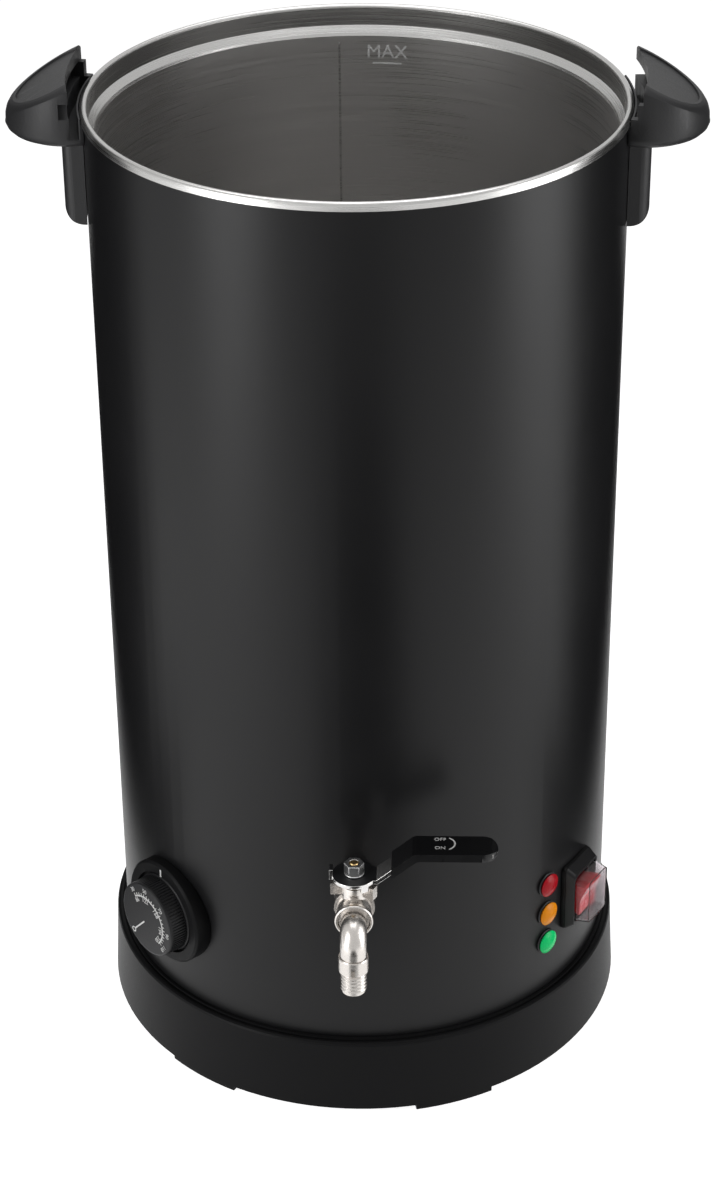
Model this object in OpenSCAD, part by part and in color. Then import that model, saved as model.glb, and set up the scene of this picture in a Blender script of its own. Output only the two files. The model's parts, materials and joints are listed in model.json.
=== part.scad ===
/* [Vessel] */
// inside diameter of the melting pot
pot_d = 245; // [200:1:300]
// height of the rim above the table
rim_z = 501.7; // [400:0.1:620]
// height of the pot's inside floor above the table
floor_z = 131; // [128:1:160]
// thickness of the pot's sheet
pot_t = 1; // [0.8:0.1:1.4]
// height of the lid ledge below the rim
ledge = 14.4; // [12:0.1:20]

/* [Shell and base] */
// air gap between the pot and the shell
air_gap = 3.7; // [3.5:0.1:8]
// thickness of the shell's sheet
shell_t = 0.8; // [0.6:0.1:1.2]
// height of the skirt's top above the table
skirt_z = 46.1; // [38:0.1:56]
// how far the skirt's foot stands out past the shell
skirt_out = 7.5; // [6.5:0.1:12]
// number of feet
foot_n = 6; // [4:1:8]
// diameter of a foot pad
pad_d = 18; // [14:1:22]

/* [Tap] */
// height of the tap's axis above the pot's inside floor
tap_up = 14; // [13:1:20]
// distance from the shell to the ball's centre
tap_out = 22; // [21:1:30]
// lever length from the stem to the tip
lever_l = 69; // [55:1:85]
// bore through the ball and the spout
flow_d = 8; // [6:0.5:8.5]
// length of the spout from the tap's axis down to its mouth
spout_l = 32; // [31:1:44]

/* [Controls] */
// diameter of the thermostat knob
knob_d = 40.4; // [34:0.2:44]
// angle of the thermostat round from the tap
dial_az = -48.2; // [-60:0.1:-40]
// angle of the lamps round from the tap
lamp_az = 48.3; // [36:0.1:49]
// angle of the switch round from the tap
switch_az = 59.6; // [59:0.1:75]
// height of the middle of the control row
control_z = 95; // [92:0.5:98]
// spacing of the indicator lamps
lamp_step = 17.8; // [15:0.1:18]

/* [Handles] */
// radius of the grip seen from above
grip_r = 30.5; // [26:0.5:36]
// how far the grip's tip stands out from the shell
grip_out = 37.2; // [33:0.1:44]
// length of the strap below the rim
strap_l = 57.3; // [52:0.1:72]
// width of the strap
strap_w = 40; // [34:1:48]

/* [Hidden] */
$fn = 96;
fit = 0.3;
run = 0.05;
slip = 0.2;
pot_r = pot_d / 2;
shell_r = pot_r + pot_t + air_gap + shell_t;
shell_in = shell_r - shell_t;
rim_r = shell_r + 1.2;
skirt_r = shell_r + skirt_out;
seat_z = skirt_z - 5.1;
foot_z = 6;
pad_z = 1.5;
pad_pr = shell_r - 9;
cover_r = shell_r - 22;
tap_z = floor_z + tap_up;
ball_y = shell_r + tap_out;
ball_r = 6.6;
stem_r = 3;
stem_z = tap_z + 25.8;
hub_z = tap_z + 17.2;
spout_y = ball_y + 24;
heat_r = pot_r - 22.5;
ring_r = pot_r - 42.5;
end_a = asin(14 / ring_r);
plate_top = floor_z - pot_t - fit;
plate_z = plate_top - 5;
ring_z = plate_z - fit - 4;
clamp_z = ring_z - 4 - fit - 2;
stud_z = clamp_z - 10;
face = shell_r + 16.5;
grip_c = shell_r + grip_out - grip_r;
screw_z = [rim_z - 30, rim_z - 47];
inlet_z = 82;
lamp_z = control_z - 0.7;
sensor_r = pot_r - 16.5;
wire_r = 1.1;
wire_z = 14;

black = [0.09, 0.09, 0.1];
dark = [0.05, 0.05, 0.055];
steel = [0.78, 0.78, 0.79];
nickel = [0.72, 0.7, 0.68];
brass = [0.75, 0.6, 0.32];

// turns a piece built at the front round to an angle from the tap
module at(a) {
    rotate([0, 0, a]) children();
}

// round bar pointing out from the middle, between two distances
module bar(x, z, d1, d2, r) {
    translate([x, -d1, z]) rotate([90, 0, 0]) cylinder(r = r, h = d2 - d1);
}

// hexagon pointing out, across flats
module hex_bar(x, z, d1, d2, af) {
    translate([x, -d1, z]) rotate([90, 0, 0]) cylinder(r = af / sqrt(3), h = d2 - d1, $fn = 6);
}

// block between side limits, distances out and heights
module block(x1, x2, d1, d2, z1, z2) {
    translate([x1, -d2, z1]) cube([x2 - x1, d2 - d1, z2 - z1]);
}

// block with rounded corners pointing out
module pad_block(w, h, z, d1, d2, c) {
    block(c - w / 2, w / 2 - c, d1, d2, z - h / 2, z + h / 2);
    block(-w / 2, w / 2, d1, d2, z - h / 2 + c, z + h / 2 - c);
    for (sx = [-1, 1], sz = [-1, 1]) {
        bar(sx * (w / 2 - c), z + sz * (h / 2 - c), d1, d2, c, $fn = 32);
    }
}

// the pot or shell surface that a piece is cut to fit, over a height
module saddle(r, z1, z2) {
    translate([0, 0, z1]) cylinder(r = r, h = z2 - z1, $fn = 480);
}

// upright tube
module tube(r1, r2, z1, z2) {
    difference() {
        translate([0, 0, z1]) cylinder(r = r2, h = z2 - z1);
        translate([0, 0, z1 - 1]) cylinder(r = r1, h = z2 - z1 + 2);
    }
}

// upright hexagon nut with a bore
module hex_nut(z1, z2, af, bore) {
    difference() {
        translate([0, 0, z1]) cylinder(r = af / sqrt(3), h = z2 - z1, $fn = 6);
        translate([0, 0, z1 - 1]) cylinder(r = bore, h = z2 - z1 + 2, $fn = 32);
    }
}

// points along an arc about a centre
function arc(c, r, a1, a2, n) = [for (i = [0 : n]) c + r * [cos(a1 + (a2 - a1) * i / n), sin(a1 + (a2 - a1) * i / n)]];

// pot floor, wall, lid ledge and rolled rim as one sheet
module pot_profile() {
    corner = 4;
    top = rim_z - ledge;
    polygon(concat(
        [[0, floor_z - pot_t]],
        arc([pot_r - corner, floor_z + corner], corner + pot_t, -90, 0, 6),
        [[pot_r + pot_t, top - 1.2], [pot_r + pot_t + 0.4, top - 0.4], [shell_in - 0.4, top + 2.2],
            [shell_in - 0.4, rim_z - 2.2], [shell_r + fit, rim_z - 2.2], [shell_r + fit, rim_z - 4],
            [rim_r, rim_z - 4]],
        arc([rim_r - 1.7, rim_z - 1.7], 1.7, 0, 180, 10),
        [[shell_in - 1.4, top + 3.8], [shell_in - 1.9, top + 3.2], [pot_r + 0.6, top + 0.5],
            [pot_r, top - 0.8]],
        arc([pot_r - corner, floor_z + corner], corner, 0, -90, 6),
        [[0, floor_z]]));
}

module inner_pot() {
    color(steel) difference() {
        rotate_extrude() pot_profile();
        bar(0, tap_z, pot_r - 10, pot_r + 10, 7);
    }
}

module outer_shell() {
    color(black) difference() {
        tube(shell_in, shell_r, seat_z + fit, rim_z - 2.5);
        bar(0, tap_z, shell_r - 10, shell_r + 5, 7.2);
        at(dial_az) {
            bar(0, control_z + 0.5, shell_r - 10, shell_r + 5, 4);
            for (s = [-14, 14]) bar(s, control_z + 0.5, shell_r - 10, shell_r + 5, 2.2);
        }
        at(lamp_az) {
            for (i = [-1 : 1]) bar(0, lamp_z + i * lamp_step, shell_r - 10, shell_r + 5, 5);
        }
        at(switch_az) block(-10.8, 10.8, shell_r - 10, shell_r + 5, control_z - 12.8, control_z + 14.8);
        at(180) {
            block(-14.8, 14.8, shell_r - 10, shell_r + 5, inlet_z - 10.8, inlet_z + 10.8);
            for (s = [-20, 20]) bar(s, inlet_z, shell_r - 10, shell_r + 5, 1.8);
        }
        for (a = [90, -90], z = screw_z) at(a) bar(0, z, shell_r - 10, shell_r + 5, 2.2);
    }
}

// moulded base: skirt with a grooved top edge, shell ledge and cover flange
module base_ring() {
    step = 360 / foot_n;
    color(black) difference() {
        union() {
            rotate_extrude() polygon([[cover_r - 10, 8], [cover_r + 0.4, 8], [cover_r + 0.4, foot_z],
                [skirt_r, foot_z], [skirt_r - 2, skirt_z - 1.6], [skirt_r - 2.5, skirt_z - 0.5],
                [skirt_r - 3.6, skirt_z], [shell_r + 2.6, skirt_z], [shell_r + 2.6, skirt_z - 1.6],
                [shell_r + 1.8, skirt_z - 1.6], [shell_r + 1.8, skirt_z + 0.9],
                [shell_r + 0.3, skirt_z + 0.9], [shell_r + 0.3, seat_z],
                [shell_r - 14, seat_z], [shell_r - 14, seat_z - 4],
                [skirt_r - 4.8, seat_z - 4], [skirt_r - 3.4, 11], [cover_r - 10, 11]]);
            for (i = [0 : foot_n - 1]) {
                rotate([0, 0, 232 + i * step - 9]) rotate_extrude(angle = 18)
                    translate([pad_pr - 11, pad_z]) square([skirt_r - 2 - pad_pr + 11, 5]);
            }
        }
        for (i = [0 : foot_n - 1]) {
            rotate([0, 0, 232 + i * step]) translate([pad_pr, 0, 0]) cylinder(r = 3, h = 7, $fn = 32);
        }
        for (i = [0 : 3]) {
            rotate([0, 0, 45 + 90 * i]) {
                translate([cover_r - 5, 0, 5]) cylinder(r = 1.9, h = 10, $fn = 32);
                translate([shell_r - 8.5, 0, seat_z - 6]) cylinder(r = 1.9, h = 10, $fn = 32);
            }
        }
    }
}

module foot_pads() {
    color(dark) for (i = [0 : foot_n - 1]) {
        rotate([0, 0, 232 + i * 360 / foot_n]) translate([pad_pr, 0, 0]) {
            cylinder(r = pad_d / 2, h = pad_z);
            cylinder(r = 2.7, h = pad_z + 4, $fn = 32);
        }
    }
}

// bottom cover with rows of cooling slots
module base_cover() {
    color([0.5, 0.5, 0.52]) difference() {
        translate([0, 0, 6.5]) cylinder(r = cover_r, h = 1.2);
        for (i = [-3 : 3], s = [-1, 1]) {
            translate([i * 14 - 2.5, s * 38 - 20, 5]) cube([5, 40, 5]);
        }
        for (i = [0 : 3]) {
            rotate([0, 0, 45 + 90 * i]) translate([cover_r - 5, 0, 5]) cylinder(r = 2.1, h = 5, $fn = 32);
        }
    }
}

module cover_screws() {
    color(steel) for (i = [0 : 3]) {
        rotate([0, 0, 45 + 90 * i]) translate([cover_r - 5, 0, 0]) difference() {
            union() {
                translate([0, 0, 4.3]) cylinder(r = 3.5, h = 1.9, $fn = 32);
                translate([0, 0, 4.3]) cylinder(r = 1.7, h = 6.2, $fn = 32);
            }
            translate([-2, -0.4, 4]) cube([4, 0.8, 1.3]);
            translate([-0.4, -2, 4]) cube([0.8, 4, 1.3]);
        }
    }
}

// angle brackets that tie the shell down to the base
module shell_brackets() {
    color(steel) for (i = [0 : 3]) {
        rotate([0, 0, 45 + 90 * i]) difference() {
            rotate([0, 0, -4]) rotate_extrude(angle = 8) {
                translate([shell_in - 1.3, seat_z + fit]) square([1, 16]);
                translate([shell_r - 14, seat_z + fit]) square([13, 1]);
            }
            translate([shell_r - 8.5, 0, seat_z - 2]) cylinder(r = 2.1, h = 6, $fn = 32);
        }
    }
}

module bracket_screws() {
    color(steel) for (i = [0 : 3]) {
        rotate([0, 0, 45 + 90 * i]) translate([shell_r - 8.5, 0, seat_z]) difference() {
            union() {
                translate([0, 0, 1.6]) cylinder(r = 3.5, h = 2, $fn = 32);
                translate([0, 0, -5.5]) cylinder(r = 1.7, h = 8, $fn = 32);
            }
            translate([-2, -0.4, 2.6]) cube([4, 0.8, 2]);
            translate([-0.4, -2, 2.6]) cube([0.8, 4, 2]);
        }
    }
}

module heater_plate() {
    color([0.8, 0.81, 0.83]) difference() {
        translate([0, 0, plate_z]) cylinder(r = heat_r, h = 5);
        translate([0, 0, plate_z - 1]) cylinder(r = 4.4, h = 7, $fn = 48);
    }
}

// tubular element bent to a ring, with two turned-down ends
module heating_ring() {
    color([0.35, 0.34, 0.34]) {
        rotate([0, 0, 87.5 + end_a]) rotate_extrude(angle = 365 - 2 * end_a) translate([ring_r, ring_z]) circle(r = 4, $fn = 32);
        for (a = [90 - end_a, 90 + end_a]) {
            rotate([0, 0, a]) translate([ring_r, 0, ring_z - 14]) cylinder(r = 3.6, h = 15, $fn = 32);
            rotate([0, 0, a]) translate([ring_r, 0, ring_z - 22]) cylinder(r = 1.5, h = 10, $fn = 24);
        }
    }
}

// pressed steel clamp with a rolled edge and holes for the element's ends
module heater_clamp() {
    color(steel) difference() {
        rotate_extrude() {
            translate([0, clamp_z]) square([ring_r + 8, 2]);
            translate([ring_r + 7, clamp_z - 6]) square([1, 8]);
        }
        translate([0, 0, clamp_z - 1]) cylinder(r = 4.4, h = 5, $fn = 48);
        for (a = [90 - end_a, 90 + end_a]) {
            rotate([0, 0, a]) translate([ring_r, 0, clamp_z - 1]) cylinder(r = 5, h = 5, $fn = 32);
        }
        translate([40, 0, clamp_z - 1]) cylinder(r = 10, h = 5, $fn = 48);
        for (i = [0 : 5]) {
            rotate([0, 0, 30 + 60 * i]) translate([56, 0, clamp_z - 1]) cylinder(r = 8, h = 5, $fn = 48);
        }
    }
}

module pot_stud() {
    color(steel) {
        translate([0, 0, stud_z]) cylinder(r = 4, h = floor_z - pot_t - stud_z - slip, $fn = 48);
    }
}

module stud_nut() {
    color(steel) {
        hex_nut(clamp_z - fit - 6.5, clamp_z - fit - 1.5, 13, 4.15);
        tube(4.4, 9, clamp_z - fit - 1.4, clamp_z - fit);
    }
}

module thermal_cutout() {
    color(dark) translate([40, 0, 0]) {
        translate([0, 0, plate_z - fit - 6]) cylinder(r = 8, h = 6, $fn = 64);
        translate([0, 0, plate_z - fit - 14]) cylinder(r = 6.5, h = 8, $fn = 64);
        for (s = [-1, 1]) translate([-0.4, s * 4 - 1.5, plate_z - 22]) cube([0.8, 3, 9]);
    }
}

module thermostat_body() {
    z = control_z + 0.5;
    color([0.62, 0.6, 0.56]) at(dial_az) difference() {
        union() {
            block(-17, 17, shell_r - 28, shell_r - 2.6, z - 14.5, z + 14.5);
            bar(0, z, shell_r - 4, shell_r - 1.4, 5.5);
            for (s = [-9, 0, 9]) block(s - 3, s + 3, shell_r - 36, shell_r - 27, z - 6.4, z - 5.6);
        }
        bar(0, z, shell_r - 16, shell_r + 2, stem_r + run);
        for (s = [-14, 14]) bar(s, z, shell_r - 12, shell_r + 2, 1.6);
    }
}

// liquid-filled bulb under the pot with its thin tube and clips
module thermostat_sensor() {
    z = floor_z - pot_t - 3;
    color(brass) at(dial_az) {
        translate([0, -sensor_r, control_z + 15.3]) cylinder(r = 1, h = z - 5 - control_z - 15.3, $fn = 24);
        translate([5, -sensor_r, z - 5]) rotate([90, 0, 0]) rotate([0, 0, 90])
            rotate_extrude(angle = 90) translate([5, 0]) circle(r = 1, $fn = 24);
        translate([4.5, -sensor_r, z]) rotate([0, 90, 0]) cylinder(r = 2.6, h = 38, $fn = 32);
        for (x = [14, 32]) {
            difference() {
                block(x, x + 4, sensor_r - 3.4, sensor_r + 3.4, z - 3.4, z + 2.8);
                translate([x - 1, -sensor_r, z]) rotate([0, 90, 0]) cylinder(r = 2.5, h = 6, $fn = 32);
            }
        }
    }
}

module thermostat_screws() {
    z = control_z + 0.5;
    color(steel) at(dial_az) for (s = [-14, 14]) difference() {
        union() {
            bar(s, z, shell_r - 10, shell_r + 2.8, 1.5, $fn = 32);
            translate([s, -shell_r - 1.2, z]) rotate([90, 0, 0]) cylinder(r1 = 1.5, r2 = 3.1, h = 1.6, $fn = 32);
        }
        block(s - 2, s + 2, shell_r + 2, shell_r + 4, z - 0.4, z + 0.4);
    }
}

module thermostat_shaft() {
    z = control_z + 0.5;
    color(steel) at(dial_az) difference() {
        bar(0, z, shell_r - 15.5, shell_r + 12.8, stem_r);
        block(-4, 4, shell_r + 4.5, shell_r + 14, z + 1.8, z + 4);
    }
}

// ribbed control knob, hollow behind its face
module thermostat_knob() {
    z = control_z + 0.5;
    r = knob_d / 2;
    back = shell_r + 3.9;
    color([0.12, 0.12, 0.13]) at(dial_az) translate([0, -back, z]) rotate([90, 0, 0]) difference() {
        rotate_extrude() polygon([[0, 0], [r + 0.8, 0], [r + 0.8, 1.6], [r + 0.3, 2.2], [r, face - back - 1],
            [r - 0.3, face - back - 0.3], [r - 1, face - back], [0, face - back]]);
        for (i = [0 : 79]) {
            rotate([0, 0, i * 4.5]) translate([r - 0.3, -0.35, 2.6]) cube([2, 0.7, face - back - 4.4]);
        }
        difference() {
            translate([0, 0, -1]) cylinder(r = r - 3, h = face - back - 1.6);
            translate([0, 0, -2]) cylinder(r = 6, h = 20, $fn = 48);
            for (a = [0, 120, 240]) rotate([0, 0, a]) translate([0, -0.8, 1]) cube([r, 1.6, 20]);
        }
        difference() {
            translate([0, 0, -1]) cylinder(r = stem_r + 0.1, h = 10.4, $fn = 64);
            translate([-4, 1.9, 0.8]) cube([8, 4, 12]);
        }
    }
}

// round bezel cut to sit on the curved shell, with a recess for the knob
module dial_bezel() {
    z = control_z + 0.5;
    r = knob_d / 2 + 8;
    color(black) at(dial_az) difference() {
        translate([0, -shell_r + 12, z]) rotate([90, 0, 0]) rotate_extrude()
            polygon([[0, 0], [r, 0], [r, 17.1], [r - 1.2, 18.3], [0, 18.3]]);
        saddle(shell_r + fit, z - 40, z + 40);
        bar(0, z, shell_r + 3.3, shell_r + 20, knob_d / 2 + 2.2);
        bar(0, z, shell_r - 2, shell_r + 5, 4);
        for (s = [-14, 14]) {
            bar(s, z, shell_r - 2, shell_r + 4, 1.8, $fn = 32);
            translate([s, -shell_r - 1, z]) rotate([90, 0, 0]) cylinder(r1 = 1.5, r2 = 3.9, h = 2.4, $fn = 32);
        }
    }
}

// domed lens in its ring
module lens(i, c) {
    color(c) at(lamp_az) translate([0, -shell_r - 1.3, lamp_z + i * lamp_step]) rotate([90, 0, 0]) {
        rotate_extrude($fn = 64) polygon(concat([[0, 0], [5.9, 0], [6.2, 0.3], [6.2, 0.9]],
            arc([0, -8], 10.8, 54, 90, 8)));
        translate([0, 0, -2]) cylinder(r = 3.4, h = 3, $fn = 48);
    }
}

module lamp_red() {
    lens(1, [0.8, 0.08, 0.1]);
}

module lamp_amber() {
    lens(0, [0.95, 0.6, 0.1]);
}

module lamp_green() {
    lens(-1, [0.1, 0.8, 0.35]);
}

module lamp_holders() {
    color(dark) at(lamp_az) for (i = [-1 : 1]) {
        z = lamp_z + i * lamp_step;
        difference() {
            union() {
                difference() {
                    translate([0, -shell_r + 3, z]) rotate([90, 0, 0]) rotate_extrude($fn = 64)
                        polygon([[0, 0], [6.6, 0], [6.6, 3.7], [6.3, 4], [0, 4]]);
                    saddle(shell_r + fit, z - 10, z + 10);
                }
                bar(0, z, shell_r - 22, shell_r + 1, 4.8, $fn = 48);
                for (s = [-2, 2]) block(s - 0.4, s + 0.4, shell_r - 28, shell_r - 21, z - 1, z + 1);
            }
            bar(0, z, shell_r - 1, shell_r + 6, 3.6, $fn = 48);
        }
    }
}

module lamp_nuts() {
    color(steel) at(lamp_az) for (i = [-1 : 1]) {
        z = lamp_z + i * lamp_step;
        difference() {
            hex_bar(0, z, shell_r - 5, shell_r - 1.6, 14);
            bar(0, z, shell_r - 6, shell_r, 4.95, $fn = 48);
        }
    }
}

// switch housing with side bearings for the rocker
module switch_body() {
    z = control_z + 1;
    color(dark) at(switch_az) difference() {
        union() {
            block(-10.3, 10.3, shell_r - 27, shell_r + 3.2, z - 13.2, z + 13.2);
            for (s = [-1, 1]) block(-3, 3, shell_r - 8, shell_r - 4, z + s * 13.6 - 0.6, z + s * 13.6 + 0.6);
        }
        block(-8, 8, shell_r - 7, shell_r + 4, z - 11.8, z + 11.8);
        bar_x(z, shell_r + 0.2, -10.6, 10.6, 1.5 + run);
        for (x = [-5, 5], s = [-8, 0, 8]) {
            block(x - 0.6, x + 0.6, shell_r - 28, shell_r - 24, z + s - 3.3, z + s + 3.3);
        }
    }
}

// round bar across, at a distance out
module bar_x(z, d, x1, x2, r) {
    translate([x1, -d, z]) rotate([0, 90, 0]) cylinder(r = r, h = x2 - x1, $fn = 48);
}

// rocker on its cross pin, tilted with its upper end out
module switch_rocker() {
    z = control_z + 1;
    color([0.75, 0.05, 0.07]) at(switch_az) translate([0, -shell_r - 0.2, z]) rotate([12, 0, 0]) {
        translate([-7.4, 0, 0]) rotate([0, 90, 0]) rotate([0, 0, 90]) linear_extrude(height = 14.8)
            polygon([[-3.2, -3.5], [8.2, -9.3], [9.4, -8.9], [8, -1.5], [8, 1.5], [9.4, 8.9], [8.2, 9.3], [-3.2, 3.5]]
                * [[-1, 0], [0, 1]]);
        translate([-9.8, 0, 0]) rotate([0, 90, 0]) cylinder(r = 1.5, h = 19.6, $fn = 48);
    }
}

// surround with bevelled edges, cut to sit on the curved shell
module switch_frame() {
    z = control_z + 1;
    color(black) at(switch_az) difference() {
        union() {
            pad_block(26, 38, z, shell_r - 3, shell_r + 1.4, 2);
            hull() {
                pad_block(25.6, 37.6, z, shell_r + 1.3, shell_r + 2, 2);
                pad_block(23.6, 31, z, shell_r + 5.8, shell_r + 6.6, 2);
            }
        }
        saddle(shell_r + fit, z - 30, z + 30);
        block(-10.6, 10.6, shell_r - 10, shell_r + 10, z - 13.5, z + 13.5);
        difference() {
            pad_block(22.3, 27.6, z, shell_r + 3.4, shell_r + 10, 2.4);
            pad_block(10, 10, z, shell_r, shell_r + 3.4, 2.4);
        }
    }
}

// clear splash cover over the rocker
module switch_boot() {
    z = control_z + 1;
    color([0.85, 0.8, 0.82, 0.5]) at(switch_az) difference() {
        union() {
            pad_block(21.8, 27, z, shell_r + 3.7, shell_r + 7, 2.4);
            hull() {
                pad_block(21.8, 27, z, shell_r + 6.9, shell_r + 7.2, 2.4);
                pad_block(18.6, 25.4, z, shell_r + 13.2, shell_r + 14, 2.2);
            }
        }
        pad_block(20.2, 25.4, z, shell_r + 3, shell_r + 7, 1.6);
        hull() {
            pad_block(20.2, 25.4, z, shell_r + 6.9, shell_r + 7.2, 1.6);
            pad_block(17, 23.8, z, shell_r + 13, shell_r + 13.2, 1.4);
        }
    }
}

module switch_terminals() {
    z = control_z + 1;
    color(brass) at(switch_az) for (x = [-5, 5], s = [-8, 0, 8]) {
        block(x - 0.4, x + 0.4, shell_r - 35, shell_r - 24.2, z + s - 3.1, z + s + 3.1);
    }
}

// appliance inlet: flange with ears, socket and rear housing
module power_inlet() {
    z = inlet_z;
    color(dark) at(180) difference() {
        union() {
            difference() {
                pad_block(50, 23, z, shell_r - 8, shell_r + 3.4, 4);
                saddle(shell_r + fit, z - 20, z + 20);
            }
            block(-14.2, 14.2, shell_r - 21, shell_r + 3, z - 10.2, z + 10.2);
        }
        difference() {
            block(-12.2, 12.2, shell_r - 13, shell_r + 5, z - 8.2, z + 8.2);
            for (s = [-1, 1]) {
                translate([s * 12.2, 0, z + 8.2]) rotate([0, 45, 0]) cube([6, 600, 6], center = true);
            }
        }
        for (p = [[-7, -2], [7, -2], [0, 2]]) {
            block(p[0] - 1.2, p[0] + 1.2, shell_r - 22, shell_r - 12, z + p[1] - 2.2, z + p[1] + 2.2);
        }
        for (s = [-20, 20]) {
            bar(s, z, shell_r - 12, shell_r + 5, 1.8, $fn = 32);
            translate([s, -shell_r - 1, z]) rotate([90, 0, 0]) cylinder(r1 = 1.6, r2 = 4.2, h = 2.6, $fn = 32);
        }
    }
}

module inlet_pins() {
    color(brass) at(180) for (p = [[-7, -2], [7, -2], [0, 2]]) {
        block(p[0] - 1, p[0] + 1, shell_r - 28, shell_r + 1, inlet_z + p[1] - 2, inlet_z + p[1] + 2);
    }
}

module inlet_screws() {
    color(steel) at(180) for (s = [-20, 20]) difference() {
        union() {
            bar(s, inlet_z, shell_r - 9, shell_r + 2.8, 1.5, $fn = 32);
            translate([s, -shell_r - 1.3, inlet_z]) rotate([90, 0, 0]) cylinder(r1 = 1.5, r2 = 3.4, h = 1.9, $fn = 32);
            hex_bar(s, inlet_z, shell_r - 7.6, shell_r - 4.6, 5.5);
        }
        block(s - 2, s + 2, shell_r + 2.4, shell_r + 4, inlet_z - 0.4, inlet_z + 0.4);
    }
}

// terminal block with five wire entries and a flange at each end
module terminal_block() {
    color([0.85, 0.84, 0.8]) translate([0, 44, 0]) difference() {
        union() {
            translate([-18.5, -9, 8]) cube([37, 18, 14]);
            translate([-25, -5, 8]) cube([50, 10, 4]);
        }
        for (i = [-2 : 2]) {
            translate([i * 7, 0, wire_z]) rotate([90, 0, 0]) cylinder(r = 1.6, h = 40, center = true, $fn = 32);
            for (s = [-4.5, 4.5]) translate([i * 7, s, 16.4]) cylinder(r = 2, h = 10, $fn = 32);
        }
        for (s = [-21.7, 21.7]) translate([s, 0, 7]) cylinder(r = 1.8, h = 10, $fn = 32);
    }
}

module terminal_screws() {
    color(brass) translate([0, 44, 0]) for (i = [-2 : 2], s = [-4.5, 4.5]) {
        translate([i * 7, s, 16.6]) difference() {
            cylinder(r = 1.8, h = 4.6, $fn = 32);
            translate([-3, -0.3, 3.8]) cube([6, 0.6, 2]);
        }
    }
}

// wire that starts upwards: each step is a straight length, a roll and a turn
module route(steps, i = 0) {
    if (i < len(steps)) {
        st = steps[i];
        back = i > 0 ? wire_r : 0;
        ahead = st[2] > 0 ? wire_r : 0;
        translate([0, 0, -back]) cylinder(r = wire_r, h = st[0] + back + ahead, $fn = 4);
        translate([0, 0, st[0]]) rotate([0, 0, st[1]]) rotate([0, st[2], 0]) route(steps, i + 1);
    }
}

// straight length out of the terminal block before a wire turns by an angle to a side offset
function lead(x, a, t) = 38 - (t - x * cos(a)) / sin(a);

// distance out from the middle at which that turn is made
function reach(x, a, t) = x * sin(a) - (38 - lead(x, a, t)) * cos(a);

// wire from the front of the terminal block to a terminal on the wall
module feed(x, a, t, rise, zt, end) {
    translate([x, 38, wire_z]) rotate([90, 0, 0]) route([[lead(x, a, t), 0, a],
        [rise - reach(x, a, t), 90, 90], [zt - wire_z, 180, 90], [end - rise, 0, 0]]);
}

module wiring() {
    zt = control_z - 5.5;
    bus = shell_r - 29.6;
    ring_y = sqrt(ring_r * ring_r - 196);
    color([0.6, 0.1, 0.08]) {
        for (p = [[-7, -2], [7, -2], [0, 2]]) {
            translate([p[0], 50, wire_z]) rotate([-90, 0, 0]) route([[18, -90, 90],
                [inlet_z + p[1] - wire_z, 180, 90], [shell_r - 28.4 - 68, 0, 0]]);
        }
        for (s = [-1, 1]) {
            translate([s * 14, ring_y, ring_z - 22.3]) rotate([180, 0, 0])
                route([[ring_z - 22.3 - wire_z, 90, 90], [ring_y - 50, 0, 0]]);
        }
        feed(14, switch_az, 5, 60, control_z + 1, shell_r - 35.3);
        feed(7, switch_az, -5, 60, control_z + 1, shell_r - 35.3);
        mirror([1, 0, 0]) {
            feed(14, -dial_az, 9, 60, zt, shell_r - 36.3);
            feed(7, -dial_az, -9, 60, zt, shell_r - 36.3);
        }
        translate([0, 38, wire_z]) rotate([90, 0, 0]) route([[4, 90, 90], [8, 180, 90],
            [lead(0, lamp_az, -2) - 4, 90, lamp_az], [bus - reach(0, lamp_az, -2), 90, 90],
            [control_z + lamp_step - wire_z - 8, 0, 0]]);
    }
}

module tank_locknut() {
    color(nickel) difference() {
        hex_bar(0, tap_z, pot_r - 9, pot_r - 4, 20);
        bar(0, tap_z, pot_r - 10, pot_r - 3, 6.65, $fn = 48);
    }
}

module inner_gasket() {
    color([0.7, 0.25, 0.2]) intersection() {
        difference() {
            bar(0, tap_z, pot_r - 3.7, pot_r + 2, 9.5);
            bar(0, tap_z, pot_r - 5, pot_r + 4, 6.7, $fn = 48);
        }
        saddle(pot_r - fit, tap_z - 20, tap_z + 20);
    }
}

// packs out the gap between the pot and the shell
module tank_spacer() {
    color(nickel) intersection() {
        difference() {
            bar(0, tap_z, pot_r - 2, shell_r, 10);
            bar(0, tap_z, pot_r - 3, shell_r + 1, 6.7, $fn = 48);
        }
        difference() {
            saddle(shell_in - fit, tap_z - 20, tap_z + 20);
            saddle(pot_r + pot_t + fit, tap_z - 21, tap_z + 21);
        }
    }
}

module outer_gasket() {
    color([0.7, 0.25, 0.2]) difference() {
        bar(0, tap_z, shell_r - 2, shell_r + 3.7, 10.4);
        bar(0, tap_z, shell_r - 4, shell_r + 6, 6.7, $fn = 48);
        saddle(shell_r + fit, tap_z - 20, tap_z + 20);
    }
}

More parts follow.
